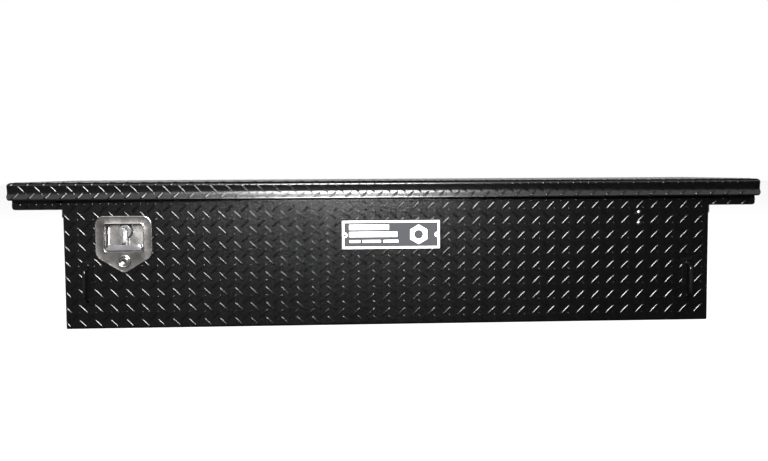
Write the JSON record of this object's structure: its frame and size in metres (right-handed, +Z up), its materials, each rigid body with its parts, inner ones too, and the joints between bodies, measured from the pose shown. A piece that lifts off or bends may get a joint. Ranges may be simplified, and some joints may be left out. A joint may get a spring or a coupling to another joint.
{
  "type": "truck tool box",
  "caption": "Low-profile crossover truck tool box in black tread plate: tub with bed-rail wings, hinged lid on gas springs, recessed pull handle with key lock, hook latches and tie-down bows.",
  "frame": {"origin": "centre of the bounding box's bottom face, below the middle of the tub", "axes": "+X to the right along the box's length, front (handle side) towards -Y, +Z up"},
  "size_m": [1.778, 0.5075, 0.346],
  "materials": {
    "black_powder_coat": "semi-gloss black powder coat over aluminium tread plate",
    "stainless_steel": "polished stainless with fine scratches",
    "zinc_plated_steel": "satin zinc plate",
    "seal_rubber": "matt black sponge rubber",
    "plate_grey": "screen-printed plate, dark grey with white border",
    "gas_spring_black": "gloss black paint"
  },
  "bodies": {
    "tub": {"front_panel": "black_powder_coat", "back_panel": "black_powder_coat", "floor_panel": "black_powder_coat", "end_wall_left": "black_powder_coat", "end_wall_right": "black_powder_coat", "saddle_left": "black_powder_coat", "saddle_right": "black_powder_coat", "rim_left": "black_powder_coat", "rim_right": "black_powder_coat", "tie_down_plate_left": "black_powder_coat", "tie_down_plate_right": "black_powder_coat", "tie_down_bow_left": "black_powder_coat", "tie_down_bow_right": "black_powder_coat", "rim_front": "black_powder_coat", "rim_back": "black_powder_coat", "lid_seal": "seal_rubber", "name_plate": "plate_grey", "name_rivet_left": "stainless_steel", "name_rivet_right": "stainless_steel", "panel_rivet_upper": "stainless_steel", "panel_rivet_lower": "stainless_steel", "handle_pan": "stainless_steel", "handle_hub": "stainless_steel", "grip_pin": "stainless_steel", "shaft_bracket_left": "zinc_plated_steel", "shaft_bracket_right": "zinc_plated_steel", "hinge_leaf_body": "zinc_plated_steel", "hinge_pin": "zinc_plated_steel", "strut_stud_lower_left": "zinc_plated_steel", "strut_stud_lower_right": "zinc_plated_steel"},
    "lid": {"lid_skin": "black_powder_coat", "lid_stiffener_left": "black_powder_coat", "lid_stiffener_center": "black_powder_coat", "lid_stiffener_right": "black_powder_coat", "hinge_leaf_lid": "zinc_plated_steel", "striker_left": "zinc_plated_steel", "striker_right": "zinc_plated_steel", "strut_stud_upper_left": "zinc_plated_steel", "strut_stud_upper_right": "zinc_plated_steel"},
    "pull_handle": {"t_grip": "stainless_steel"},
    "latch_shaft": {"cross_shaft": "zinc_plated_steel", "drive_arm": "zinc_plated_steel", "latch_hook_left": "zinc_plated_steel", "latch_hook_right": "zinc_plated_steel"},
    "key_lock": {"lock_cylinder": "stainless_steel", "lock_cam": "zinc_plated_steel"},
    "gas_cylinder_left": {"strut_cylinder_left": "gas_spring_black"},
    "gas_rod_left": {"strut_rod_left": "stainless_steel"},
    "gas_cylinder_right": {"strut_cylinder_right": "gas_spring_black"},
    "gas_rod_right": {"strut_rod_right": "stainless_steel"}
  },
  "joints": [
    {"name": "lid_hinge", "type": "hinge", "parent": "tub", "child": "lid", "pos_m": [0, 0.2499, 0.299], "axis": [-1, 0, 0], "range_deg": [0, 60]},
    {"name": "handle_pull", "type": "hinge", "parent": "tub", "child": "pull_handle", "pos_m": [-0.6315, -0.212, 0.229], "axis": [-1, 0, 0], "range_deg": [0, 35], "stiffness_Nm_per_rad": 0.3},
    {"name": "shaft_turn", "type": "hinge", "parent": "tub", "child": "latch_shaft", "pos_m": [0, -0.165, 0.222], "axis": [1, 0, 0], "range_deg": [0, 16]},
    {"name": "lock_turn", "type": "hinge", "parent": "tub", "child": "key_lock", "pos_m": [-0.6315, -0.22, 0.1587], "axis": [0, -1, 0], "range_deg": [0, 90]},
    {"name": "gas_cylinder_tilt_left", "type": "hinge", "parent": "tub", "child": "gas_cylinder_left", "pos_m": [-0.735, 0.1835, 0.152], "axis": [-1, 0, 0], "range_deg": [0, 11.1]},
    {"name": "gas_rod_slide_left", "type": "slide", "parent": "gas_cylinder_left", "child": "gas_rod_left", "axis": [0, 0, 1], "range_m": [0, 0.0588]},
    {"name": "gas_cylinder_tilt_right", "type": "hinge", "parent": "tub", "child": "gas_cylinder_right", "pos_m": [0.735, 0.1835, 0.152], "axis": [-1, 0, 0], "range_deg": [0, 11.1]},
    {"name": "gas_rod_slide_right", "type": "slide", "parent": "gas_cylinder_right", "child": "gas_rod_right", "axis": [0, 0, 1], "range_m": [0, 0.0588]}
  ],
  "couplings": [
    {"joint": "shaft_turn", "follows": "handle_pull", "ratio": 0.45714},
    {"joint": "gas_cylinder_tilt_left", "follows": "lid_hinge", "ratio": 0.18454},
    {"joint": "gas_rod_slide_left", "follows": "lid_hinge", "m_per_rad": 0.05599},
    {"joint": "gas_cylinder_tilt_right", "follows": "lid_hinge", "ratio": 0.18454},
    {"joint": "gas_rod_slide_right", "follows": "lid_hinge", "m_per_rad": 0.05599}
  ]
}
